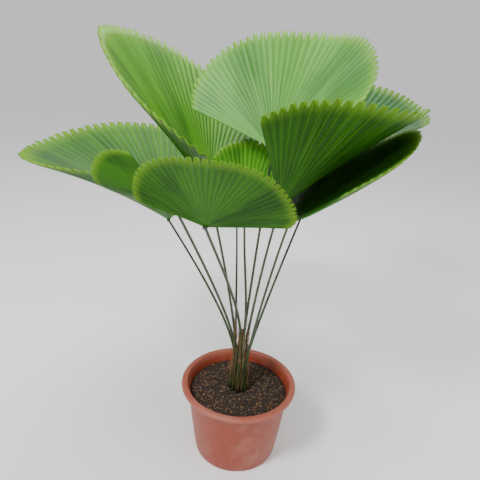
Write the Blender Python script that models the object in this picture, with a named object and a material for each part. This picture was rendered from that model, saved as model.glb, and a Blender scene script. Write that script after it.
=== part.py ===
"""Potted ruffled fan palm: a plastic nursery pot, its soil, a short stem, and stalks that carry fan blades.

Metres, +Z up. The origin is the centre of the pot's flat underside, and -Y is the plant's front.
"""
import math

import bpy
import numpy as np

GAP = 0.0003

# Pot: a 300 mm nursery pot with a rolled rim
RIM_RADIUS = 0.150
RIM_HEIGHT = 0.012
POT_HEIGHT = 0.207
NECK_RADIUS = 0.134
FOOT_RADIUS = 0.105
FOOT_CHAMFER = 0.006
WALL = 0.004
POT_SIDES = 40

# Soil: filled to just below the rim, slightly mounded at the stem
SOIL_TOP = 0.180
SOIL_MOUND = 0.006
SOIL_STEPS = 4

# Stem: a flared foot, then a taper to the height where the stalks part
STEM_FOOT_RADIUS = 0.0165
STEM_TOP_RADIUS = 0.0080
STEM_TOP = 0.360
STEM_FLARE = 0.0045
STEM_SIDES = 14
STEM_STEPS = 9

# Leaf stalks
STALK_FOOT = 0.012
STALK_FOOT_RADIUS = 0.0042
STALK_PART_RADIUS = 0.0033
STALK_RADIUS = 0.0028
STALK_HEAD_RADIUS = 0.0058
STALK_SIDES = 6
STALK_STEPS = 10

# Blades
BLADE_THICKNESS = 0.0040
BLADE_ROOT_THICKNESS = 0.0014
BLADE_ROOT_RADIUS = 0.0065
BLADE_STEP = math.radians(7.0)
BLADE_RINGS = (0.0, 0.16, 0.58, 1.0)
TOOTH_DEPTH = 0.035
CUP_SPREAD = 45.0
FALL_POWER = 2.2

POT_COLOUR = (0.42, 0.075, 0.035)
SOIL_COLOUR = (0.035, 0.022, 0.014)
STEM_COLOUR = (0.12, 0.055, 0.02)
STALK_COLOUR = (0.03, 0.055, 0.015)
BLADE_COLOUR = (0.11, 0.33, 0.03)

# Each leaf: the joint of stalk and blade, the azimuth and rise of its middle rib and the roll about it,
# the middle rib's length, the opening to each side with the share of length that its edge ribs lose,
# the droop, the cup, the folds as (place, bend, width) in degrees, and where its stalk leaves the stem.
LEAVES = {
    "upper_left": dict(
        joint=(-0.093, -0.021, 0.723), azimuth=145, rise=59, roll=-16, reach=0.394, left=109, right=70,
        fall_left=0.27, fall_right=0.15, droop=0.06, cup=63, folds=((-38, 8, 7), (55, 17, 14)),
        foot_turn=158, part_height=0.310),
    "upper_right": dict(
        joint=(0.040, -0.027, 0.827), azimuth=64, rise=56, roll=-3, reach=0.298, left=80, right=78,
        fall_left=0.33, fall_right=0.28, droop=0.04, cup=46, folds=((-7, 22, 6), (-8, 5, 12)),
        foot_turn=69, part_height=0.310),
    "right": dict(
        joint=(0.064, -0.042, 0.704), azimuth=40, rise=31, roll=24, reach=0.367, left=87, right=107,
        fall_left=0.20, fall_right=0.27, droop=0.07, cup=50, folds=((-56, 44, 9), (17, -10, 13)),
        foot_turn=-8, part_height=0.335),
    "back_right": dict(
        joint=(0.220, 0.332, 0.746), azimuth=61, rise=28, roll=-17, reach=0.382, left=100, right=55,
        fall_left=0.25, fall_right=0.22, droop=-0.05, cup=70, folds=((-55, 3, 13), (-28, 8, 10)),
        foot_turn=27, part_height=0.253),
    "low_right": dict(
        joint=(0.090, -0.016, 0.659), azimuth=15, rise=33, roll=14, reach=0.342, left=89, right=69,
        fall_left=0.12, fall_right=0.31, droop=-0.09, cup=15, folds=((92, 3, 8), (51, -9, 17)),
        foot_turn=-41, part_height=0.249),
    "left": dict(
        joint=(-0.210, 0.157, 0.588), azimuth=158, rise=37, roll=7, reach=0.398, left=105, right=95,
        fall_left=0.25, fall_right=0.21, droop=0.15, cup=75, folds=((34, 34, 17),),
        foot_turn=189, part_height=0.289),
    "front_left": dict(
        joint=(-0.149, -0.192, 0.747), azimuth=157, rise=1, roll=-43, reach=0.175, left=63, right=110,
        fall_left=0.29, fall_right=0.26, droop=-0.05, cup=66, folds=(),
        foot_turn=227, part_height=0.292),
    "front": dict(
        joint=(-0.081, -0.272, 0.733), azimuth=-89, rise=50, roll=7, reach=0.201, left=79, right=53,
        fall_left=0.27, fall_right=0.33, droop=0.02, cup=10, folds=((-16, -11, 7),),
        foot_turn=261, part_height=0.336),
    "back": dict(
        joint=(-0.031, 0.321, 0.548), azimuth=105, rise=16, roll=4, reach=0.382, left=86, right=74,
        fall_left=0.25, fall_right=0.25, droop=0.10, cup=40, folds=((30, 20, 12),),
        foot_turn=126, part_height=0.244),
    "young": dict(
        joint=(-0.010, 0.009, 0.637), azimuth=95, rise=86, roll=1, reach=0.202, left=27, right=32,
        fall_left=0.10, fall_right=0.10, droop=0.00, cup=70, folds=(),
        foot_turn=297, part_height=0.355),
}


def clear_scene():
    for old in list(bpy.data.objects):
        bpy.data.objects.remove(old, do_unlink=True)


def finish(name, colour, roughness):
    material = bpy.data.materials.new(name)
    material.use_nodes = True
    shader = material.node_tree.nodes["Principled BSDF"]
    shader.inputs["Base Color"].default_value = (*colour, 1.0)
    shader.inputs["Roughness"].default_value = roughness
    return material


def add_mesh(name, points, faces, material):
    mesh = bpy.data.meshes.new(name)
    mesh.from_pydata([tuple(float(v) for v in p) for p in points], [], faces)
    mesh.materials.append(material)
    mesh.shade_smooth()
    mesh.set_sharp_from_angle(angle=math.radians(35.0))
    thing = bpy.data.objects.new(name, mesh)
    bpy.context.scene.collection.objects.link(thing)
    return thing


def turned(name, profile, sides, material):
    """Turn a closed profile about Z. It runs from the axis at the bottom, up the outside, back to the axis."""
    points = [(0.0, 0.0, profile[0][1])]
    for radius, height in profile[1:-1]:
        for side in range(sides):
            turn = 2.0 * math.pi * side / sides
            points.append((radius * math.cos(turn), radius * math.sin(turn), height))
    points.append((0.0, 0.0, profile[-1][1]))
    rings = len(profile) - 2
    faces = []
    for side in range(sides):
        after = (side + 1) % sides
        faces.append((0, 1 + after, 1 + side))
        for ring in range(rings - 1):
            low = 1 + ring * sides
            high = low + sides
            faces.append((low + side, low + after, high + after, high + side))
        last = 1 + (rings - 1) * sides
        faces.append((last + side, last + after, len(points) - 1))
    return add_mesh(name, points, faces, material)


def tube(name, route, radii, sides, material):
    """Sweep a round section along a route, with a flat cap at each end."""
    route = np.array(route)
    heading = np.gradient(route, axis=0)
    heading /= np.linalg.norm(heading, axis=1)[:, None]
    across = np.cross(heading[0], (0.0, 1.0, 0.13))
    points = []
    for centre, ahead, radius in zip(route, heading, radii):
        across = across - ahead * across.dot(ahead)
        across /= np.linalg.norm(across)
        upward = np.cross(ahead, across)
        for side in range(sides):
            turn = 2.0 * math.pi * side / sides
            points.append(centre + radius * (across * math.cos(turn) + upward * math.sin(turn)))
    faces = [tuple(range(sides))[::-1]]
    for ring in range(len(route) - 1):
        for side in range(sides):
            after = (side + 1) % sides
            low = ring * sides
            faces.append((low + side, low + after, low + sides + after, low + sides + side))
    last = (len(route) - 1) * sides
    faces.append(tuple(last + side for side in range(sides)))
    return add_mesh(name, points, faces, material)


def wall_radius(height):
    share = (height - FOOT_CHAMFER) / (POT_HEIGHT - FOOT_CHAMFER)
    return FOOT_RADIUS + 0.004 + (NECK_RADIUS - FOOT_RADIUS - 0.004) * max(share, 0.0) ** 0.85


def make_pot(material):
    neck = POT_HEIGHT - RIM_HEIGHT
    heights = (FOOT_CHAMFER, 0.05, 0.11, 0.165, neck)
    profile = [(0.0, 0.0), (FOOT_RADIUS, 0.0)]
    profile += [(wall_radius(height), height) for height in heights]
    profile += [(RIM_RADIUS - 0.003, neck), (RIM_RADIUS, neck + 0.004)]
    profile += [(RIM_RADIUS - 0.001, POT_HEIGHT - 0.003), (RIM_RADIUS - 0.005, POT_HEIGHT)]
    profile += [(NECK_RADIUS + 0.004, POT_HEIGHT), (NECK_RADIUS + 0.001, POT_HEIGHT - 0.003)]
    for height in (neck, 0.165, 0.11, 0.05, FOOT_CHAMFER):
        profile.append((wall_radius(height) - WALL, height))
    profile.append((0.0, FOOT_CHAMFER))
    return turned("pot", profile, POT_SIDES, material)


def make_soil(material):
    profile = [(0.0, FOOT_CHAMFER + GAP)]
    clear = WALL + GAP * 2.0
    for height in (FOOT_CHAMFER + GAP, 0.05, 0.11, 0.165, SOIL_TOP):
        profile.append((wall_radius(height) - clear, height))
    edge = profile[-1][0]
    for step in range(SOIL_STEPS - 1, 0, -1):
        share = step / SOIL_STEPS
        profile.append((edge * share, SOIL_TOP + SOIL_MOUND * (1.0 - share ** 2)))
    profile.append((0.0, SOIL_TOP + SOIL_MOUND))
    return turned("soil", profile, POT_SIDES, material)


def stem_radius(height):
    share = (height - SOIL_TOP) / (STEM_TOP - SOIL_TOP)
    taper = STEM_FOOT_RADIUS + (STEM_TOP_RADIUS - STEM_FOOT_RADIUS) * share
    return taper + STEM_FLARE * math.exp(-share * 14.0)


def make_stem(material):
    foot = SOIL_TOP + SOIL_MOUND + GAP
    profile = [(0.0, foot)]
    for step in range(STEM_STEPS):
        height = foot + (STEM_TOP - foot) * (step / (STEM_STEPS - 1)) ** 1.4
        profile.append((stem_radius(height), height))
    profile.append((0.0, STEM_TOP))
    return turned("stem", profile, STEM_SIDES, material)


def unit(vector):
    return vector / np.linalg.norm(vector)


def stalk_route(leaf):
    """Up the stem's side, then in one easy curve to the blade's joint, where the stalk swells to a head."""
    turn = math.radians(leaf["foot_turn"])
    outward = np.array((math.cos(turn), math.sin(turn), 0.0))
    part = leaf["part_height"]
    foot = SOIL_TOP + SOIL_MOUND + STALK_FOOT
    route, radii = [], []
    for height in (foot, (foot + part) / 2.0, part):
        share = (height - foot) / (part - foot)
        radius = STALK_FOOT_RADIUS + (STALK_PART_RADIUS - STALK_FOOT_RADIUS) * share
        reach = (stem_radius(height) + GAP) / math.cos(math.pi / STEM_SIDES) + radius
        route.append(outward * reach + np.array((0.0, 0.0, height)))
        radii.append(radius)
    joint = np.array(leaf["joint"])
    start = route[-1]
    arrive = unit(joint - np.array((0.0, 0.0, part + 0.05)))
    lift = start + np.array((0.0, 0.0, 0.10)) + outward * 0.012
    lead = joint - arrive * 0.12
    for step in range(1, STALK_STEPS):
        t = step / STALK_STEPS
        spot = (1 - t) ** 3 * start + 3 * (1 - t) ** 2 * t * lift + 3 * (1 - t) * t ** 2 * lead + t ** 3 * joint
        route.append(spot)
        radii.append(STALK_PART_RADIUS + (STALK_RADIUS - STALK_PART_RADIUS) * t)
    for along in (-0.86, -0.45, 0.0, 0.5, 0.86):
        route.append(joint + arrive * STALK_HEAD_RADIUS * along)
        radii.append(STALK_HEAD_RADIUS * math.sqrt(1.0 - along ** 2))
    return route, radii


def rib_frame(leaf):
    """The middle rib's direction, the direction to its left, and the upper side's normal."""
    azimuth, rise, roll = (math.radians(leaf[key]) for key in ("azimuth", "rise", "roll"))
    ahead = np.array((math.cos(rise) * math.cos(azimuth), math.cos(rise) * math.sin(azimuth), math.sin(rise)))
    level = np.array((-math.sin(rise) * math.cos(azimuth), -math.sin(rise) * math.sin(azimuth), math.cos(rise)))
    normal = level * math.cos(roll) + np.cross(level, ahead) * math.sin(roll)
    return ahead, np.cross(normal, ahead), normal


def bend_at(leaf, place):
    """How sharply the blade turns about the rib at this place, in radians for each radian of fan."""
    total = 0.0
    for centre, angle, width in ((0.0, leaf["cup"], CUP_SPREAD), *leaf["folds"]):
        spread = math.radians(width)
        offset = (place - math.radians(centre)) / spread
        total += math.radians(angle) * math.exp(-0.5 * offset ** 2) / (spread * math.sqrt(2.0 * math.pi))
    return total


def ribs(leaf, opening):
    """Walk from the middle rib to one edge: each rib's place in the fan, direction and normal."""
    count = max(2, math.ceil(abs(opening) / BLADE_STEP))
    step = opening / count
    ahead, left, normal = rib_frame(leaf)
    found = [(0.0, ahead, normal)]
    for index in range(count):
        ahead, left = ahead * math.cos(step) + left * math.sin(step), left * math.cos(step) - ahead * math.sin(step)
        bend = bend_at(leaf, (index + 0.5) * step) * step
        left, normal = left * math.cos(bend) + normal * math.sin(bend), normal * math.cos(bend) - left * math.sin(bend)
        found.append(((index + 1) * step, ahead, normal))
    return found


def make_blade(name, leaf, material):
    left, right = math.radians(leaf["left"]), math.radians(leaf["right"])
    fan = ribs(leaf, -right)[:0:-1] + ribs(leaf, left)
    joint = np.array(leaf["joint"])
    upper, lower = [], []
    for index, (place, ahead, normal) in enumerate(fan):
        share = place / left if place > 0.0 else -place / right
        fall = leaf["fall_left"] if place > 0.0 else leaf["fall_right"]
        length = leaf["reach"] * (1.0 - fall * share ** FALL_POWER)
        if index % 2:
            length *= 1.0 - TOOTH_DEPTH
        for ring in BLADE_RINGS:
            radius = BLADE_ROOT_RADIUS + (length - BLADE_ROOT_RADIUS) * ring
            along = radius / length
            thick = BLADE_ROOT_THICKNESS + (BLADE_THICKNESS - BLADE_ROOT_THICKNESS) * min(ring * 4.0, 1.0)
            centre = joint + radius * (ahead - normal * leaf["droop"] * along)
            upper.append(centre + normal * thick / 2.0)
            lower.append(centre - normal * thick / 2.0)
    rings = len(BLADE_RINGS)
    columns = len(fan)
    total = rings * columns
    faces = []
    for column in range(columns - 1):
        for ring in range(rings - 1):
            a = column * rings + ring
            b = a + rings
            faces.append((a, a + 1, b + 1, b))
            faces.append((total + a, total + b, total + b + 1, total + a + 1))
        a = column * rings
        b = a + rings
        faces.append((a, b, total + b, total + a))
        a += rings - 1
        b += rings - 1
        faces.append((a, total + a, total + b, b))
    last = (columns - 1) * rings
    for ring in range(rings - 1):
        faces.append((ring, total + ring, total + ring + 1, ring + 1))
        faces.append((last + ring, last + ring + 1, total + last + ring + 1, total + last + ring))
    return add_mesh(name, upper + lower, faces, material)


clear_scene()
make_pot(finish("pot", POT_COLOUR, 0.5))
make_soil(finish("soil", SOIL_COLOUR, 0.95))
make_stem(finish("stem", STEM_COLOUR, 0.85))
for leaf_name, values in LEAVES.items():
    points, sizes = stalk_route(values)
    tube("stalk_" + leaf_name, points, sizes, STALK_SIDES, finish("stalk_" + leaf_name, STALK_COLOUR, 0.55))
    make_blade("blade_" + leaf_name, values, finish("blade_" + leaf_name, BLADE_COLOUR, 0.4))
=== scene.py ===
import math
import random

import bpy
import numpy as np
from mathutils import Matrix, Vector


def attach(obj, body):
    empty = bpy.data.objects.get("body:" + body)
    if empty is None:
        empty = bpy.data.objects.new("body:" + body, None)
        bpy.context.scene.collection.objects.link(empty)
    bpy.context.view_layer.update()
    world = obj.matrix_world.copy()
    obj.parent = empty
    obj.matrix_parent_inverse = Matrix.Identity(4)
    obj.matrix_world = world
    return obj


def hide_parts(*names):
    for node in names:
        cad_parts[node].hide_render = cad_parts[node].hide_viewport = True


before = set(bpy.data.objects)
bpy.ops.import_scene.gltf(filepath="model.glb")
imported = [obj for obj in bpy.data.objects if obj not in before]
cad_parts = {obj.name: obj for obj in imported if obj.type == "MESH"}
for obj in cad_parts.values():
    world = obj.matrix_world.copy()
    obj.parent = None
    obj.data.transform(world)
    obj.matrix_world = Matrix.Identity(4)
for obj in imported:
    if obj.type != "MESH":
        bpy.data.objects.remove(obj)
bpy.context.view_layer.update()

# The pot is a round 300 mm nursery pot, moulded in terracotta-coloured plastic with a rolled rim.
# The wall is thin, steps in under the rim, and ends in a chamfered foot that the plant stands on.
RIM_RADIUS = 0.150
POT_HEIGHT = 0.207
RIM_HEIGHT = 0.012
NECK_RADIUS = 0.134
FOOT_RADIUS = 0.105
FOOT_CHAMFER = 0.006
POT_WALL = 0.004
WALL_CURVE = 0.85
WALL_STEPS = 24
FOOT_RING = 0.004
FOOT_RING_WIDTH = 0.010
GROOVE_DROP = 0.022
GROOVE_STEP = 0.0012
LIP_RADIUS = 0.004
POT_SIDES = 128
ROOT_BODY = "root"


def new_material(name, roughness):
    material = bpy.data.materials.new(name)
    material.use_nodes = True
    material.node_tree.nodes["Principled BSDF"].inputs["Roughness"].default_value = roughness
    return material


def new_group(name, inputs, outputs):
    """A node group with named inputs and outputs: each is (name, kind, value)."""
    group = bpy.data.node_groups.new(name, "ShaderNodeTree")
    for label, kind, value in inputs:
        socket = group.interface.new_socket(label, in_out="INPUT", socket_type=kind)
        socket.default_value = value
    for label, kind in outputs:
        group.interface.new_socket(label, in_out="OUTPUT", socket_type=kind)
    return group, group.nodes.new("NodeGroupInput"), group.nodes.new("NodeGroupOutput")


def place_group(material, group, values):
    node = material.node_tree.nodes.new("ShaderNodeGroup")
    node.node_tree = group
    for label, value in values.items():
        node.inputs[label].default_value = value
    return node


def math_node(tree, operation, first, second=None, clamp=False):
    node = tree.nodes.new("ShaderNodeMath")
    node.operation = operation
    node.use_clamp = clamp
    for socket, value in zip(node.inputs, (first, second)):
        if value is None:
            continue
        if isinstance(value, (int, float)):
            socket.default_value = value
        else:
            tree.links.new(value, socket)
    return node.outputs[0]


def mix_colour(tree, share, first, second, blend="MIX"):
    node = tree.nodes.new("ShaderNodeMix")
    node.data_type = "RGBA"
    node.blend_type = blend
    for socket, value in ((node.inputs[0], share), (node.inputs[6], first), (node.inputs[7], second)):
        if isinstance(value, bpy.types.NodeSocket):
            tree.links.new(value, socket)
        else:
            socket.default_value = value
    return node.outputs[2]


def noise_node(tree, place, scale, detail=6.0, roughness=0.6):
    node = tree.nodes.new("ShaderNodeTexNoise")
    node.inputs["Scale"].default_value = scale
    node.inputs["Detail"].default_value = detail
    node.inputs["Roughness"].default_value = roughness
    tree.links.new(place, node.inputs["Vector"])
    return node.outputs["Fac"]


def step_between(tree, value, low, high):
    node = tree.nodes.new("ShaderNodeMapRange")
    node.interpolation_type = "SMOOTHSTEP"
    node.inputs["From Min"].default_value = low
    node.inputs["From Max"].default_value = high
    tree.links.new(value, node.inputs["Value"])
    return node.outputs["Result"]


def stretched(tree, place, size):
    node = tree.nodes.new("ShaderNodeMapping")
    node.inputs["Scale"].default_value = size
    tree.links.new(place, node.inputs["Vector"])
    return node.outputs["Vector"]


def add_bump(material, height, strength, distance):
    tree = material.node_tree
    bump = tree.nodes.new("ShaderNodeBump")
    bump.inputs["Strength"].default_value = strength
    bump.inputs["Distance"].default_value = distance
    tree.links.new(height, bump.inputs["Height"])
    tree.links.new(bump.outputs["Normal"], tree.nodes["Principled BSDF"].inputs["Normal"])


def add_mesh(name, points, faces, materials):
    mesh = bpy.data.meshes.new(name)
    mesh.from_pydata([tuple(float(v) for v in point) for point in points], [], faces)
    for material in materials:
        mesh.materials.append(material)
    mesh.shade_smooth()
    thing = bpy.data.objects.new(name, mesh)
    bpy.context.scene.collection.objects.link(thing)
    return thing


def turned(name, profile, sides, materials):
    """Turn a profile about Z, from the axis at the bottom, up the outside and back to the axis."""
    points = [(0.0, 0.0, profile[0][1])]
    for radius, height in profile[1:-1]:
        for side in range(sides):
            turn = 2.0 * math.pi * side / sides
            points.append((radius * math.cos(turn), radius * math.sin(turn), height))
    points.append((0.0, 0.0, profile[-1][1]))
    rings = len(profile) - 2
    faces = []
    for side in range(sides):
        after = (side + 1) % sides
        faces.append((0, 1 + after, 1 + side))
        for ring in range(rings - 1):
            low = 1 + ring * sides
            high = low + sides
            faces.append((low + side, low + after, high + after, high + side))
        last = 1 + (rings - 1) * sides
        faces.append((last + side, last + after, len(points) - 1))
    return add_mesh(name, points, faces, materials)


def wall_radius(height):
    share = (height - FOOT_CHAMFER) / (POT_HEIGHT - FOOT_CHAMFER)
    swell = NECK_RADIUS - FOOT_RADIUS - FOOT_RING
    return FOOT_RADIUS + FOOT_RING + swell * max(share, 0.0) ** WALL_CURVE


def dust_group():
    """Dust and scuffs: pale film in broad patches, with thin scratches, over a base colour."""
    group, given, made = new_group(
        "dust_and_scuffs",
        [("Base", "NodeSocketColor", (0.5, 0.1, 0.05, 1.0)),
         ("Dust", "NodeSocketColor", (0.6, 0.4, 0.35, 1.0)),
         ("Patch Scale", "NodeSocketFloat", 9.0)],
        [("Color", "NodeSocketColor"), ("Roughness", "NodeSocketFloat"), ("Height", "NodeSocketFloat")])
    place = group.nodes.new("ShaderNodeTexCoord").outputs["Object"]
    broad = noise_node(group, place, 1.0)
    group.links.new(given.outputs["Patch Scale"], broad.node.inputs["Scale"])
    fine = noise_node(group, place, 140.0, 8.0, 0.7)
    streak = noise_node(group, stretched(group, place, (60.0, 60.0, 5.0)), 1.0, 5.0, 0.65)
    film = math_node(group, "MULTIPLY", step_between(group, broad, 0.47, 0.72), fine)
    scuff = math_node(group, "MULTIPLY", step_between(group, streak, 0.60, 0.74), 0.55)
    cover = math_node(group, "ADD", math_node(group, "MULTIPLY", film, 1.1), scuff, clamp=True)
    shade = mix_colour(group, step_between(group, fine, 0.35, 0.7), given.outputs["Base"],
                       (0.17, 0.026, 0.010, 1.0))
    shade = mix_colour(group, 0.35, given.outputs["Base"], shade)
    group.links.new(mix_colour(group, cover, shade, given.outputs["Dust"]), made.inputs["Color"])
    rough = math_node(group, "ADD", math_node(group, "MULTIPLY", cover, 0.35), 0.42)
    group.links.new(rough, made.inputs["Roughness"])
    group.links.new(fine, made.inputs["Height"])
    return group


DUST = dust_group()


def pot_finish():
    material = new_material("terracotta_plastic", 0.5)
    tree = material.node_tree
    shader = tree.nodes["Principled BSDF"]
    node = place_group(material, DUST, {"Base": (0.27, 0.040, 0.014, 1.0), "Dust": (0.42, 0.19, 0.14, 1.0)})
    place = tree.nodes.new("ShaderNodeTexCoord").outputs["Object"]
    split = tree.nodes.new("ShaderNodeSeparateXYZ")
    tree.links.new(place, split.inputs[0])
    # The whole rolled rim is mixed evenly towards a lighter terracotta, lightest towards the top.
    rim = step_between(tree, split.outputs["Z"], POT_HEIGHT - RIM_HEIGHT - 0.002, POT_HEIGHT - 0.004)
    rim_lightening = math_node(tree, "MULTIPLY", rim, 0.55)
    tree.links.new(mix_colour(tree, rim_lightening, node.outputs["Color"], (0.40, 0.115, 0.075, 1.0)),
                   shader.inputs["Base Color"])
    tree.links.new(node.outputs["Roughness"], shader.inputs["Roughness"])
    add_bump(material, node.outputs["Height"], 0.25, 0.0006)
    return material


def arc(centre, radius, first, last, steps):
    spots = []
    for step in range(steps + 1):
        turn = math.radians(first + (last - first) * step / steps)
        spots.append((centre[0] + radius * math.cos(turn), centre[1] + radius * math.sin(turn)))
    return spots


def pot_profile():
    neck = POT_HEIGHT - RIM_HEIGHT
    roll = RIM_HEIGHT / 2.0
    inner_foot = FOOT_RADIUS - FOOT_RING_WIDTH
    outer_foot = FOOT_RADIUS - 0.001
    profile = [(0.0, FOOT_RING), (inner_foot - 0.002, FOOT_RING), (inner_foot, 0.0), (outer_foot, 0.0)]
    profile += arc((outer_foot, FOOT_RING), FOOT_RING, -80.0, -10.0, 4)
    for step in range(WALL_STEPS):
        rise = (neck - 0.030 - FOOT_CHAMFER) * step / (WALL_STEPS - 1)
        height = FOOT_CHAMFER + FOOT_RING + rise
        profile.append((wall_radius(height), height))
    groove = neck - GROOVE_DROP
    profile.append((wall_radius(groove) + GROOVE_STEP, groove + 0.002))
    profile.append((wall_radius(neck) + GROOVE_STEP + 0.0004, neck - 0.001))
    profile += arc((RIM_RADIUS - roll, neck + roll), roll, -85.0, 90.0, 12)
    profile += arc((NECK_RADIUS + LIP_RADIUS, POT_HEIGHT - LIP_RADIUS), LIP_RADIUS, 95.0, 180.0, 6)
    for height in (neck, 0.17, 0.12, 0.06, FOOT_CHAMFER):
        profile.append((wall_radius(height) - POT_WALL, height))
    profile.append((0.0, FOOT_CHAMFER))
    return profile


pot = turned("nursery_pot", pot_profile(), POT_SIDES, [pot_finish()])
pot.data.set_sharp_from_angle(angle=math.radians(40.0))
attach(pot, ROOT_BODY)
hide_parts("pot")

# The soil is a dark, coarse potting mix that fills the pot to about 25 mm below the rim. It is peat
# with husk chips, gravel and a little white perlite, tipped in loose, so its surface is lumpy.
SOIL_TOP = 0.180
SOIL_MOUND = 0.006
SOIL_EDGE = wall_radius(SOIL_TOP) - POT_WALL - 0.001
SOIL_RINGS = 70
SOIL_SPOKES = 200
SOIL_DEPTH = 0.03
SOIL_ROUGHNESS = 0.0005
# Name, count, size, flatness, colour and roughness of each kind of grain
GRAINS = (
    ("crumb", 5200, 0.0022, 1.0, (0.030, 0.017, 0.010), 0.95),
    ("husk", 900, 0.0056, 0.32, (0.200, 0.105, 0.045), 0.85),
    ("gravel", 420, 0.0036, 0.8, (0.150, 0.105, 0.075), 0.75),
    ("perlite", 60, 0.0024, 0.9, (0.78, 0.76, 0.70), 0.8),
)


def soil_finish(name, colour, roughness):
    material = new_material(name, roughness)
    tree = material.node_tree
    place = tree.nodes.new("ShaderNodeTexCoord").outputs["Object"]
    mottle = noise_node(tree, place, 220.0, 8.0, 0.7)
    dark = tuple(value * 0.45 for value in colour) + (1.0,)
    light = tuple(min(value * 1.5, 1.0) for value in colour) + (1.0,)
    tree.links.new(mix_colour(tree, step_between(tree, mottle, 0.35, 0.65), dark, light),
                   tree.nodes["Principled BSDF"].inputs["Base Color"])
    add_bump(material, mottle, 0.6, 0.001)
    return material


def soil_height(x, y):
    share = math.hypot(x, y) / SOIL_EDGE
    lump = 0.0014 * math.sin(91.0 * x + 2.0) * math.sin(83.0 * y + 1.0)
    lump += 0.0009 * math.sin(231.0 * x + 140.0 * y) + 0.0006 * math.sin(410.0 * y - 333.0 * x)
    return SOIL_TOP + SOIL_MOUND * (1.0 - share ** 2) + lump * (1.0 - share ** 6) - 0.001


def make_soil():
    rng = np.random.default_rng(4)
    points = [(0.0, 0.0, soil_height(0.0, 0.0))]
    for ring in range(1, SOIL_RINGS + 1):
        reach = SOIL_EDGE * ring / SOIL_RINGS
        for spoke in range(SOIL_SPOKES):
            turn = 2.0 * math.pi * spoke / SOIL_SPOKES
            x, y = reach * math.cos(turn), reach * math.sin(turn)
            points.append((x, y, soil_height(x, y) + rng.normal(0.0, SOIL_ROUGHNESS)))
    faces = []
    for spoke in range(SOIL_SPOKES):
        after = (spoke + 1) % SOIL_SPOKES
        faces.append((0, 1 + spoke, 1 + after))
        for ring in range(SOIL_RINGS - 1):
            low = 1 + ring * SOIL_SPOKES
            high = low + SOIL_SPOKES
            faces.append((low + spoke, high + spoke, high + after, low + after))
    foot = len(points)
    last = 1 + (SOIL_RINGS - 1) * SOIL_SPOKES
    for spoke in range(SOIL_SPOKES):
        turn = 2.0 * math.pi * spoke / SOIL_SPOKES
        reach = SOIL_EDGE * 0.97
        points.append((reach * math.cos(turn), reach * math.sin(turn), SOIL_TOP - SOIL_DEPTH))
    for spoke in range(SOIL_SPOKES):
        after = (spoke + 1) % SOIL_SPOKES
        faces.append((last + spoke, foot + spoke, foot + after, last + after))
    faces.append(tuple(foot + spoke for spoke in range(SOIL_SPOKES))[::-1])
    finish = soil_finish("potting_mix", (0.028, 0.017, 0.011), 0.96)
    return add_mesh("potting_mix", points, faces, [finish])


def make_grains(name, count, size, flatness, colour, roughness, rng):
    """Many rough little stones or chips, lying on the soil, as one mesh."""
    corners = np.array([(1, 0, 0), (0.3, 0.95, 0), (-0.8, 0.6, 0), (-0.8, -0.6, 0), (0.3, -0.95, 0),
                        (0.1, 0, 1), (-0.1, 0, -1)], float)
    sides = [(k, (k + 1) % 5, 5) for k in range(5)] + [((k + 1) % 5, k, 6) for k in range(5)]
    points, faces = [], []
    for _ in range(count):
        reach = (SOIL_EDGE - size) * math.sqrt(rng.uniform(0.0, 1.0))
        turn = rng.uniform(0.0, 2.0 * math.pi)
        x, y = reach * math.cos(turn), reach * math.sin(turn)
        scale = size * rng.uniform(0.35, 1.0) * 0.5
        shape = corners * rng.uniform(0.7, 1.3, corners.shape) * (scale, scale * 0.75, scale * flatness)
        tilt, spin = rng.uniform(-0.7, 0.7), rng.uniform(0.0, 2.0 * math.pi)
        c, s = math.cos(tilt), math.sin(tilt)
        shape = shape @ np.array([(c, 0, s), (0, 1, 0), (-s, 0, c)])
        c, s = math.cos(spin), math.sin(spin)
        shape = shape @ np.array([(c, s, 0), (-s, c, 0), (0, 0, 1)])
        base = len(points)
        shape = shape + (x, y, soil_height(x, y) + scale * 0.35)
        points.extend(shape)
        faces.extend(tuple(base + k for k in side) for side in sides)
    return add_mesh("soil_" + name, points, faces, [soil_finish("soil_" + name, colour, roughness)])


soil = make_soil()
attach(soil, ROOT_BODY)
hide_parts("soil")
grain_rng = np.random.default_rng(11)
for grain in GRAINS:
    piece = make_grains(*grain, grain_rng)
    piece.data.shade_flat()
    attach(piece, ROOT_BODY)

# The stem is short and hidden in the old leaf bases. Each base clasps it as a green-brown sleeve that
# splits into tan fibres, which fray where the sleeve has opened.
STEM_FOOT_RADIUS = 0.0165
STEM_TOP_RADIUS = 0.0080
STEM_TOP = 0.360
STEM_FLARE = 0.0045
STEM_RIBS = 72
STEM_RINGS = 90
STEM_FIBRES = 150
FIBRE_RADIUS = 0.00035
FIBRE_STAND_OFF = 0.0092
FIBRE_STEPS = 9


def stem_radius(height):
    share = (height - SOIL_TOP) / (STEM_TOP - SOIL_TOP)
    taper = STEM_FOOT_RADIUS + (STEM_TOP_RADIUS - STEM_FOOT_RADIUS) * share
    return taper + STEM_FLARE * math.exp(-share * 14.0)


def unit(vector):
    return vector / np.linalg.norm(vector)


def tube_points(route, radii, sides):
    """The points and faces of a round section swept along a route, closed at both ends."""
    route = np.array(route)
    heading = np.gradient(route, axis=0)
    heading /= np.linalg.norm(heading, axis=1)[:, None]
    across = np.cross(heading[0], (0.0, 1.0, 0.13))
    points = []
    for centre, ahead, radius in zip(route, heading, radii):
        across = unit(across - ahead * across.dot(ahead))
        upward = np.cross(ahead, across)
        for side in range(sides):
            turn = 2.0 * math.pi * side / sides
            points.append(centre + radius * (across * math.cos(turn) + upward * math.sin(turn)))
    faces = [tuple(range(sides))[::-1]]
    for ring in range(len(route) - 1):
        for side in range(sides):
            after = (side + 1) % sides
            low = ring * sides
            faces.append((low + side, low + after, low + sides + after, low + sides + side))
    last = (len(route) - 1) * sides
    faces.append(tuple(last + side for side in range(sides)))
    return points, faces


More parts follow.
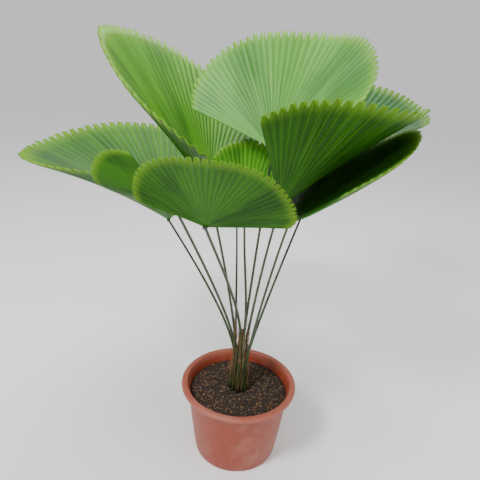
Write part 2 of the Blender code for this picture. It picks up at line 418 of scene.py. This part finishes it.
def fibre_group():
    """Long fibres: streaks along Z that break up a base colour and give it relief."""
    group, given, made = new_group(
        "long_fibres",
        [("Dark", "NodeSocketColor", (0.03, 0.02, 0.01, 1.0)),
         ("Light", "NodeSocketColor", (0.4, 0.2, 0.08, 1.0))],
        [("Color", "NodeSocketColor"), ("Height", "NodeSocketFloat")])
    place = group.nodes.new("ShaderNodeTexCoord").outputs["Object"]
    streak = noise_node(group, stretched(group, place, (420.0, 420.0, 22.0)), 1.0, 7.0, 0.7)
    patch = noise_node(group, place, 45.0)
    share = math_node(group, "MULTIPLY", step_between(group, streak, 0.38, 0.64),
                      step_between(group, patch, 0.30, 0.62))
    shade = mix_colour(group, share, given.outputs["Dark"], given.outputs["Light"])
    group.links.new(shade, made.inputs["Color"])
    group.links.new(streak, made.inputs["Height"])
    return group


FIBRES = fibre_group()


def fibre_finish(name, dark, light, roughness, relief):
    material = new_material(name, roughness)
    node = place_group(material, FIBRES, {"Dark": dark, "Light": light})
    shader = material.node_tree.nodes["Principled BSDF"]
    material.node_tree.links.new(node.outputs["Color"], shader.inputs["Base Color"])
    add_bump(material, node.outputs["Height"], 0.7, relief)
    return material


def make_stem():
    foot = SOIL_TOP + SOIL_MOUND
    points = [(0.0, 0.0, foot)]
    for ring in range(STEM_RINGS):
        height = foot + (STEM_TOP - foot) * ring / (STEM_RINGS - 1)
        for rib in range(STEM_RIBS):
            turn = 2.0 * math.pi * rib / STEM_RIBS
            relief = 1.0 + 0.04 * math.sin(turn * 9.0 + height * 60.0) + 0.03 * math.sin(turn * 23.0)
            reach = (stem_radius(height) - 0.0008) * min(relief, 1.05)
            points.append((reach * math.cos(turn), reach * math.sin(turn), height))
    points.append((0.0, 0.0, STEM_TOP))
    faces = []
    for rib in range(STEM_RIBS):
        after = (rib + 1) % STEM_RIBS
        faces.append((0, 1 + after, 1 + rib))
        for ring in range(STEM_RINGS - 1):
            low = 1 + ring * STEM_RIBS
            faces.append((low + rib, low + after, low + STEM_RIBS + after, low + STEM_RIBS + rib))
        last = 1 + (STEM_RINGS - 1) * STEM_RIBS
        faces.append((last + rib, last + after, len(points) - 1))
    dark, light = (0.035, 0.022, 0.010, 1.0), (0.30, 0.13, 0.04, 1.0)
    finish = fibre_finish("old_leaf_bases", dark, light, 0.85, 0.002)
    return add_mesh("stem_core", points, faces, [finish])


def make_stem_fibres():
    rng = random.Random(8)
    points, faces = [], []
    for _ in range(STEM_FIBRES):
        turn = rng.uniform(0.0, 2.0 * math.pi)
        low = rng.uniform(SOIL_TOP + 0.008, STEM_TOP - 0.02)
        length = rng.uniform(0.02, 0.09)
        loose = rng.choice((0.0, 0.0, 0.004, 0.010))
        route = []
        for step in range(FIBRE_STEPS):
            share = step / (FIBRE_STEPS - 1)
            height = low + length * share
            reach = stem_radius(min(height, STEM_TOP)) + FIBRE_STAND_OFF + loose * share ** 2
            swing = turn + 0.35 * math.sin(share * 3.0 + low * 90.0) * (0.4 + loose * 40.0)
            route.append((reach * math.cos(swing), reach * math.sin(swing), height))
        radii = [FIBRE_RADIUS * (1.0 - 0.6 * step / (FIBRE_STEPS - 1)) for step in range(FIBRE_STEPS)]
        more, quads = tube_points(route, radii, 4)
        base = len(points)
        points.extend(more)
        faces.extend(tuple(base + k for k in quad) for quad in quads)
    finish = fibre_finish("frayed_fibre", (0.16, 0.07, 0.025, 1.0), (0.50, 0.25, 0.09, 1.0), 0.8, 0.0005)
    return add_mesh("stem_fibres", points, faces, [finish])


stem = make_stem()
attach(stem, ROOT_BODY)
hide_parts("stem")
stem_fibres = make_stem_fibres()
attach(stem_fibres, ROOT_BODY)

# Each leaf has a thin, tough stalk with a dark green-brown skin and a few short thorns on its lower half.
# It starts as a wider base that clasps the stem, and swells to a small knuckle where the blade begins.
STALK_FOOT_RADIUS = 0.0042
STALK_PART_RADIUS = 0.0033
STALK_RADIUS = 0.0026
STALK_HEAD_RADIUS = 0.0050
STALK_STEPS = 40
STALK_SIDES = 14
STALK_FOOT_STEPS = 9
STALK_LIFT = 0.10
STALK_SPLAY = 0.012
STALK_LEAD = 0.12
STALK_AIM_HEIGHT = 0.05
STEM_CLEAR = 0.0005
THORN_SPACING = 4
THORN_LENGTH = 0.0022
THORN_HALF_FOOT = 0.0012
THORN_HALF_WIDTH = 0.0006
LEAVES = {
    "upper_left": dict(
        joint=(-0.093, -0.021, 0.723), azimuth=145, rise=59, roll=-16, reach=0.394, left=109, right=70,
        fall_left=0.27, fall_right=0.15, droop=0.06, cup=63, folds=((-38, 8, 7), (55, 17, 14)),
        foot_turn=158, part_height=0.310),
    "upper_right": dict(
        joint=(0.040, -0.027, 0.827), azimuth=64, rise=56, roll=-3, reach=0.298, left=80, right=78,
        fall_left=0.33, fall_right=0.28, droop=0.04, cup=46, folds=((-7, 22, 6), (-8, 5, 12)),
        foot_turn=69, part_height=0.310),
    "right": dict(
        joint=(0.064, -0.042, 0.704), azimuth=40, rise=31, roll=24, reach=0.367, left=87, right=107,
        fall_left=0.20, fall_right=0.27, droop=0.07, cup=50, folds=((-56, 44, 9), (17, -10, 13)),
        foot_turn=-8, part_height=0.335),
    "back_right": dict(
        joint=(0.220, 0.332, 0.746), azimuth=61, rise=28, roll=-17, reach=0.382, left=100, right=55,
        fall_left=0.25, fall_right=0.22, droop=-0.05, cup=70, folds=((-55, 3, 13), (-28, 8, 10)),
        foot_turn=27, part_height=0.253),
    "low_right": dict(
        joint=(0.090, -0.016, 0.659), azimuth=15, rise=33, roll=14, reach=0.342, left=89, right=69,
        fall_left=0.12, fall_right=0.31, droop=-0.09, cup=15, folds=((92, 3, 8), (51, -9, 17)),
        foot_turn=-41, part_height=0.249),
    "left": dict(
        joint=(-0.210, 0.157, 0.588), azimuth=158, rise=37, roll=7, reach=0.398, left=105, right=95,
        fall_left=0.25, fall_right=0.21, droop=0.15, cup=75, folds=((34, 34, 17),),
        foot_turn=189, part_height=0.289),
    "front_left": dict(
        joint=(-0.149, -0.192, 0.747), azimuth=157, rise=1, roll=-43, reach=0.175, left=63, right=110,
        fall_left=0.29, fall_right=0.26, droop=-0.05, cup=66, folds=(),
        foot_turn=227, part_height=0.292),
    "front": dict(
        joint=(-0.081, -0.272, 0.733), azimuth=-89, rise=50, roll=7, reach=0.201, left=79, right=53,
        fall_left=0.27, fall_right=0.33, droop=0.02, cup=10, folds=((-16, -11, 7),),
        foot_turn=261, part_height=0.336),
    "back": dict(
        joint=(-0.031, 0.321, 0.548), azimuth=105, rise=16, roll=4, reach=0.382, left=86, right=74,
        fall_left=0.25, fall_right=0.25, droop=0.10, cup=40, folds=((30, 20, 12),),
        foot_turn=126, part_height=0.244),
    "young": dict(
        joint=(-0.010, 0.009, 0.637), azimuth=95, rise=86, roll=1, reach=0.202, left=27, right=32,
        fall_left=0.10, fall_right=0.10, droop=0.00, cup=70, folds=(),
        foot_turn=297, part_height=0.355),
}


def stalk_route(leaf):
    turn = math.radians(leaf["foot_turn"])
    outward = np.array((math.cos(turn), math.sin(turn), 0.0))
    part = leaf["part_height"]
    foot = SOIL_TOP + SOIL_MOUND
    route, radii = [], []
    for step in range(STALK_FOOT_STEPS):
        share = step / (STALK_FOOT_STEPS - 1)
        height = foot + (part - foot) * share
        radius = STALK_FOOT_RADIUS + (STALK_PART_RADIUS - STALK_FOOT_RADIUS) * share
        reach = stem_radius(height) + STEM_CLEAR + radius
        route.append(outward * reach + np.array((0.0, 0.0, height)))
        radii.append(radius)
    joint = np.array(leaf["joint"])
    start = route[-1]
    arrive = unit(joint - np.array((0.0, 0.0, part + STALK_AIM_HEIGHT)))
    lift = start + np.array((0.0, 0.0, STALK_LIFT)) + outward * STALK_SPLAY
    lead = joint - arrive * STALK_LEAD
    for step in range(1, STALK_STEPS):
        t = step / STALK_STEPS
        spot = (1 - t) ** 3 * start + 3 * (1 - t) ** 2 * t * lift
        spot = spot + 3 * (1 - t) * t ** 2 * lead + t ** 3 * joint
        route.append(spot)
        radii.append(STALK_PART_RADIUS + (STALK_RADIUS - STALK_PART_RADIUS) * t)
    for step in range(9):
        along = math.sin(math.radians(-60.0 + 120.0 * step / 8))
        route.append(joint + arrive * STALK_HEAD_RADIUS * along)
        radii.append(STALK_HEAD_RADIUS * math.sqrt(1.0 - along ** 2))
    return route, radii


def add_thorns(points, faces, route, radii):
    for index in range(STALK_FOOT_STEPS, len(route) // 2 + 4, THORN_SPACING):
        spot, radius = route[index], radii[index]
        ahead = unit(route[index + 1] - route[index - 1])
        side = unit(np.cross(ahead, (0.3, 1.0, 0.2)))
        for hand in (-1.0, 1.0):
            root = spot + side * hand * radius * 0.7
            base = len(points)
            wide = np.cross(ahead, side) * THORN_HALF_WIDTH
            long = ahead * THORN_HALF_FOOT
            tip = root + side * hand * THORN_LENGTH - ahead * 0.0010
            points.extend((root - long, root + long, root + wide, root - wide, tip))
            faces.extend(((base, base + 2, base + 4), (base + 2, base + 1, base + 4),
                          (base + 1, base + 3, base + 4), (base + 3, base, base + 4)))
            faces.append((base, base + 3, base + 1, base + 2))


STALK_DARK = (0.016, 0.030, 0.008, 1.0)
STALK_LIGHT = (0.060, 0.090, 0.025, 1.0)
STALK_FINISH = fibre_finish("stalk_skin", STALK_DARK, STALK_LIGHT, 0.42, 0.0003)
for leaf_name, leaf in LEAVES.items():
    stalk_line, stalk_radii = stalk_route(leaf)
    stalk_points, stalk_faces = tube_points(stalk_line, stalk_radii, STALK_SIDES)
    add_thorns(stalk_points, stalk_faces, stalk_line, stalk_radii)
    stalk = add_mesh("leaf_stalk_" + leaf_name, stalk_points, stalk_faces, [STALK_FINISH])
    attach(stalk, ROOT_BODY)
    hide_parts("stalk_" + leaf_name)

# The blades are nearly whole fans, stiff and pleated like folded card. Each pleat is one leaflet, fused to
# its neighbours almost to the tip, where it ends in two short teeth. The upper side is waxy and bright.
SEGMENT = math.radians(3.4)
COLUMNS = 4
RINGS = 20
BLADE_ROOT_RADIUS = 0.0055
BLADE_SKIN = 0.0007
CUP_SPREAD = 45.0
FALL_POWER = 2.2
PLEAT_DEPTH = 0.150
NOTCH = 0.060
SMALL_NOTCH = 0.016
NOTCH_START = 0.86
RIPPLE = 0.0045
# Each leaf's deep, middle and pale greens carry painted light and shade as well as its own colour: leaves
# lit through from behind are painted a brighter yellow-green, a glossy top gets a paler painted sheen, and
# leaves in the shade of others are painted darker.
LEAF_TONES_WITH_PAINTED_LIGHT = {
    "upper_left": ((0.012, 0.110, 0.0005), (0.085, 0.330, 0.0008), (0.210, 0.520, 0.004)),
    "upper_right": ((0.035, 0.180, 0.012), (0.105, 0.340, 0.040), (0.260, 0.520, 0.130)),
    "right": ((0.010, 0.100, 0.0008), (0.060, 0.250, 0.0030), (0.150, 0.400, 0.015)),
    "back_right": ((0.003, 0.040, 0.004), (0.016, 0.120, 0.010), (0.050, 0.220, 0.035)),
    "low_right": ((0.008, 0.060, 0.004), (0.030, 0.130, 0.012), (0.090, 0.260, 0.040)),
    "left": ((0.008, 0.080, 0.001), (0.045, 0.190, 0.004), (0.110, 0.320, 0.012)),
    "front_left": ((0.002, 0.050, 0.002), (0.025, 0.200, 0.004), (0.130, 0.430, 0.030)),
    "front": ((0.008, 0.080, 0.001), (0.055, 0.220, 0.003), (0.140, 0.360, 0.015)),
    "back": ((0.006, 0.070, 0.001), (0.040, 0.190, 0.004), (0.110, 0.320, 0.015)),
    "young": ((0.015, 0.120, 0.001), (0.080, 0.300, 0.004), (0.180, 0.440, 0.020)),
}
UNDER = ((0.008, 0.060, 0.001), (0.030, 0.140, 0.002), (0.100, 0.280, 0.010))


def rib_frame(leaf):
    azimuth, rise, roll = (math.radians(leaf[key]) for key in ("azimuth", "rise", "roll"))
    outward = np.array((math.cos(azimuth), math.sin(azimuth), 0.0))
    upward = np.array((0.0, 0.0, 1.0))
    ahead = outward * math.cos(rise) + upward * math.sin(rise)
    level = upward * math.cos(rise) - outward * math.sin(rise)
    normal = level * math.cos(roll) + np.cross(level, ahead) * math.sin(roll)
    return ahead, np.cross(normal, ahead), normal


def bend_at(leaf, place):
    total = 0.0
    for centre, angle, width in ((0.0, leaf["cup"], CUP_SPREAD), *leaf["folds"]):
        spread = math.radians(width)
        offset = (place - math.radians(centre)) / spread
        total += math.radians(angle) * math.exp(-0.5 * offset ** 2) / (spread * math.sqrt(2.0 * math.pi))
    return total


def turn_pair(first, second, angle):
    """Turn two directions at right angles towards each other's place, by an angle in their plane."""
    return (first * math.cos(angle) + second * math.sin(angle),
            second * math.cos(angle) - first * math.sin(angle))


def ribs(leaf, opening):
    """From the middle rib to one edge, four columns for each pleat: place, direction and normal."""
    count = max(2, round(abs(opening) / SEGMENT)) * COLUMNS
    step = opening / count
    ahead, left, normal = rib_frame(leaf)
    found = [(0.0, 0, ahead, normal)]
    for index in range(count):
        ahead, left = turn_pair(ahead, left, step)
        bend = bend_at(leaf, (index + 0.5) * step) * step
        left, normal = turn_pair(left, normal, bend)
        found.append(((index + 1) * step, index + 1, ahead, normal))
    return found


def vein_and_light_group():
    """Leaf colour: a painted highlight on each pleat's ridge along its rib, a painted shadow in each
    pleat's valley, streaks along the ribs and tips brightened by painted light shining through.
    """
    group, given, made = new_group(
        "pleat_veins_and_painted_light",
        [("Deep", "NodeSocketColor", (0.03, 0.1, 0.01, 1.0)),
         ("Middle", "NodeSocketColor", (0.1, 0.3, 0.02, 1.0)),
         ("Pale", "NodeSocketColor", (0.3, 0.5, 0.1, 1.0)), ("Seed", "NodeSocketFloat", 0.0)],
        [("Color", "NodeSocketColor"), ("Roughness", "NodeSocketFloat"), ("Height", "NodeSocketFloat")])
    split = group.nodes.new("ShaderNodeSeparateXYZ")
    group.links.new(group.nodes.new("ShaderNodeTexCoord").outputs["UV"], split.inputs[0])
    fan, along = split.outputs["X"], split.outputs["Y"]
    join = group.nodes.new("ShaderNodeCombineXYZ")
    group.links.new(fan, join.inputs["X"])
    group.links.new(along, join.inputs["Y"])
    group.links.new(given.outputs["Seed"], join.inputs["Z"])
    place = join.outputs["Vector"]
    pleat = math_node(group, "PINGPONG", fan, 0.5)
    rib = step_between(group, pleat, 0.40, 0.50)
    valley_shade = math_node(group, "SUBTRACT", 1.0, step_between(group, pleat, 0.0, 0.16))
    broad = noise_node(group, stretched(group, place, (0.13, 0.9, 1.0)), 1.0, 3.0, 0.5)
    streak = noise_node(group, stretched(group, place, (3.2, 1.3, 1.0)), 1.0, 6.0, 0.65)
    fine = noise_node(group, stretched(group, place, (26.0, 2.2, 1.0)), 1.0, 4.0, 0.6)
    shade = mix_colour(group, step_between(group, broad, 0.34, 0.60), given.outputs["Deep"],
                       given.outputs["Middle"])
    shade = mix_colour(group, math_node(group, "MULTIPLY", step_between(group, streak, 0.45, 0.75), 0.55),
                       shade, given.outputs["Pale"])
    # Painted highlight: the ridge of each pleat, along its rib, is mixed towards the pale tone.
    shade = mix_colour(group, math_node(group, "MULTIPLY", rib, 0.50), shade, given.outputs["Pale"])
    # Painted shadow: the valley of each pleat is mixed towards the deep tone.
    shade = mix_colour(group, math_node(group, "MULTIPLY", valley_shade, 0.70), shade, given.outputs["Deep"])
    # Painted light shining through: the outer part of each leaf, towards the tips, is mixed towards a
    # bright yellow-green.
    tip = math_node(group, "MULTIPLY", step_between(group, along, 0.86, 1.0), 0.45)
    shade = mix_colour(group, tip, shade, (0.26, 0.50, 0.02, 1.0))
    group.links.new(shade, made.inputs["Color"])
    rough = math_node(group, "ADD", math_node(group, "MULTIPLY", streak, 0.25), 0.33)
    group.links.new(rough, made.inputs["Roughness"])
    relief = math_node(group, "ADD", math_node(group, "MULTIPLY", rib, 0.8), fine)
    group.links.new(relief, made.inputs["Height"])
    return group


VEINS_AND_PAINTED_LIGHT = vein_and_light_group()


def blade_finish(name, tones, seed, gloss):
    material = new_material(name, 0.4)
    deep, middle, pale = (tone + (1.0,) for tone in tones)
    node = place_group(material, VEINS_AND_PAINTED_LIGHT, {"Deep": deep, "Middle": middle, "Pale": pale, "Seed": seed})
    tree = material.node_tree
    shader = tree.nodes["Principled BSDF"]
    tree.links.new(node.outputs["Color"], shader.inputs["Base Color"])
    tree.links.new(node.outputs["Roughness"], shader.inputs["Roughness"])
    shader.inputs["Specular IOR Level"].default_value = gloss
    add_bump(material, node.outputs["Height"], 0.35, 0.0008)
    return material


def smooth(value):
    value = min(max(value, 0.0), 1.0)
    return value * value * (3.0 - 2.0 * value)


def make_blade(name, leaf, finishes):
    left, right = math.radians(leaf["left"]), math.radians(leaf["right"])
    fan = [(place, -index, ahead, normal) for place, index, ahead, normal in ribs(leaf, -right)[:0:-1]]
    fan += ribs(leaf, left)
    joint = np.array(leaf["joint"])
    rng = random.Random(name)
    uneven = {}
    points, places = [], []
    for place, index, ahead, normal in fan:
        share = place / left if place > 0.0 else -place / right
        fall = leaf["fall_left"] if place > 0.0 else leaf["fall_right"]
        length = leaf["reach"] * (1.0 - fall * share ** FALL_POWER)
        pleat = index // COLUMNS
        if pleat not in uneven:
            uneven[pleat] = rng.uniform(0.0, 0.012)
        corner = index % COLUMNS
        notch = (NOTCH, 0.0, SMALL_NOTCH, 0.0)[corner] + (uneven[pleat] if corner else 0.0)
        crease = (-1.0, 0.0, 1.0, 0.0)[corner]
        for ring in range(RINGS):
            along = ring / (RINGS - 1)
            cut = notch * smooth((along - NOTCH_START) / (1.0 - NOTCH_START))
            radius = BLADE_ROOT_RADIUS + (length * (1.0 - cut) - BLADE_ROOT_RADIUS) * along
            out = radius / length
            lift = crease * radius * SEGMENT * PLEAT_DEPTH * smooth(along * 4.0)
            lift += RIPPLE * smooth(along) * math.sin(place * 6.0 + len(name))
            points.append(joint + radius * (ahead - normal * leaf["droop"] * out) + normal * lift)
            places.append((index / COLUMNS, out))
    faces = []
    for column in range(len(fan) - 1):
        for ring in range(RINGS - 1):
            low = column * RINGS + ring
            faces.append((low, low + 1, low + RINGS + 1, low + RINGS))
    blade = add_mesh("fan_blade_" + name, points, faces, finishes)
    layer = blade.data.uv_layers.new(name="fan")
    for loop in blade.data.loops:
        layer.data[loop.index].uv = places[loop.vertex_index]
    skin = blade.modifiers.new("skin", "SOLIDIFY")
    skin.thickness = BLADE_SKIN
    skin.offset = 0.0
    skin.material_offset = 1
    return blade


for order, (leaf_name, leaf) in enumerate(LEAVES.items()):
    # The top finish takes this leaf's greens, their painted light and shade included.
    above = blade_finish("blade_top_" + leaf_name, LEAF_TONES_WITH_PAINTED_LIGHT[leaf_name], order * 3.7, 0.35)
    below = blade_finish("blade_under_" + leaf_name, UNDER, order * 2.3 + 1.0, 0.15)
    blade = make_blade(leaf_name, leaf, [above, below])
    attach(blade, ROOT_BODY)
    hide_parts("blade_" + leaf_name)

# The plant stands on a plain pale floor in even studio light, seen a little from above.
# The camera is where the ellipses of the photographed pot put it.
CAMERA_PLACE = (-0.024, -1.043, 1.020)
CAMERA_DOWN = math.radians(21.7)
CAMERA_ROLL = math.radians(3.4)
CAMERA_TURN = math.radians(0.3)
CAMERA_LENS = 36.0
SENSOR_WIDTH = 36.0
FLOOR_REACH = 8.0


def add_floor():
    mesh = bpy.data.meshes.new("studio_floor")
    side = FLOOR_REACH
    mesh.from_pydata([(-side, -side, 0.0), (side, -side, 0.0), (side, side, 0.0), (-side, side, 0.0)],
                     [], [(0, 1, 2, 3)])
    floor = bpy.data.objects.new("studio_floor", mesh)
    bpy.context.scene.collection.objects.link(floor)
    material = new_material("studio_floor", 0.9)
    material.node_tree.nodes["Principled BSDF"].inputs["Base Color"].default_value = (0.97, 0.97, 0.97, 1.0)
    mesh.materials.append(material)


def add_light(name, place, target, size, power):
    lamp = bpy.data.lights.new(name, "AREA")
    lamp.size = size
    lamp.energy = power
    light = bpy.data.objects.new(name, lamp)
    light.location = place
    light.rotation_euler = (Vector(target) - Vector(place)).to_track_quat("-Z", "Y").to_euler()
    bpy.context.scene.collection.objects.link(light)


def add_camera():
    ahead = Vector((math.sin(CAMERA_TURN) * math.cos(CAMERA_DOWN),
                    math.cos(CAMERA_TURN) * math.cos(CAMERA_DOWN), -math.sin(CAMERA_DOWN)))
    level = Vector((math.cos(CAMERA_TURN), -math.sin(CAMERA_TURN), 0.0))
    upward = level.cross(ahead)
    across = level * math.cos(CAMERA_ROLL) + upward * math.sin(CAMERA_ROLL)
    top = upward * math.cos(CAMERA_ROLL) - level * math.sin(CAMERA_ROLL)
    lens = bpy.data.cameras.new("camera")
    lens.lens = CAMERA_LENS
    lens.sensor_width = SENSOR_WIDTH
    lens.clip_end = 60.0
    camera = bpy.data.objects.new("camera", lens)
    turn = Matrix((across, top, -ahead)).transposed().to_4x4()
    camera.matrix_world = Matrix.Translation(CAMERA_PLACE) @ turn
    bpy.context.scene.collection.objects.link(camera)
    bpy.context.scene.camera = camera


def add_world():
    world = bpy.data.worlds.new("studio")
    world.use_nodes = True
    world.node_tree.nodes["Background"].inputs["Color"].default_value = (1.0, 1.0, 1.0, 1.0)
    world.node_tree.nodes["Background"].inputs["Strength"].default_value = 0.75
    bpy.context.scene.world = world


add_floor()
add_light("key", (-1.4, -1.5, 2.8), (0.0, 0.0, 0.7), 0.7, 85.0)
add_light("fill", (2.0, -1.2, 1.6), (0.0, 0.0, 0.6), 1.8, 14.0)
add_light("top", (0.2, 1.2, 3.0), (0.0, 0.0, 0.8), 1.6, 40.0)
add_camera()
add_world()
